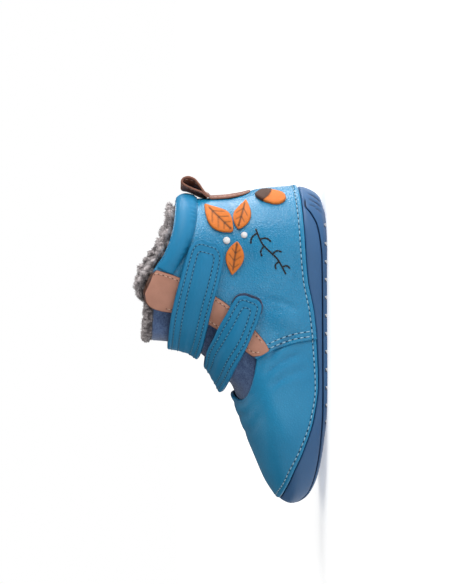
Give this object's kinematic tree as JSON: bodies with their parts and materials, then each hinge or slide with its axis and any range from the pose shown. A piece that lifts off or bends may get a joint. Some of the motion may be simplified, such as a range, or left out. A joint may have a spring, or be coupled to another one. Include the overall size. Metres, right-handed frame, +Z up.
{
  "type": "barefoot boot",
  "caption": "Toddler's left barefoot winter boot with a thin cup sole, leather upper, fur lined collar, hook and loop straps and a pull loop at the heel.",
  "frame": {"origin": "on the ground under the middle of the boot's box", "axes": "+X from toe to heel, +Y to the inner side of the foot, +Z up"},
  "size_m": [0.1579, 0.066, 0.0873],
  "materials": {
    "rubber": "matte moulded rubber",
    "foot_bed": "woolly foot bed",
    "blue_leather": "fine grained leather with a soft sheen",
    "navy_felt": "brushed felt",
    "tan_leather": "smooth leather",
    "navy_tape": "loop tape",
    "brown_leather": "matt leather",
    "grey_fur": "curly pile",
    "orange_cloth": "embroidered cloth"
  },
  "bodies": {
    "root": {"sole": "rubber", "insole": "foot_bed", "upper": "blue_leather", "tongue": "navy_felt", "collar_cuff": "blue_leather", "facing_lateral": "tan_leather", "facing_medial": "tan_leather", "strap_upper": "blue_leather", "strap_lower": "blue_leather", "loop_tape_upper": "navy_tape", "loop_tape_lower": "navy_tape", "pull_loop": "brown_leather", "fur_collar": "grey_fur", "fur_tongue": "grey_fur", "leaf_1": "orange_cloth", "leaf_2": "orange_cloth", "leaf_3": "orange_cloth", "acorn": "orange_cloth"}
  },
  "joints": []
}
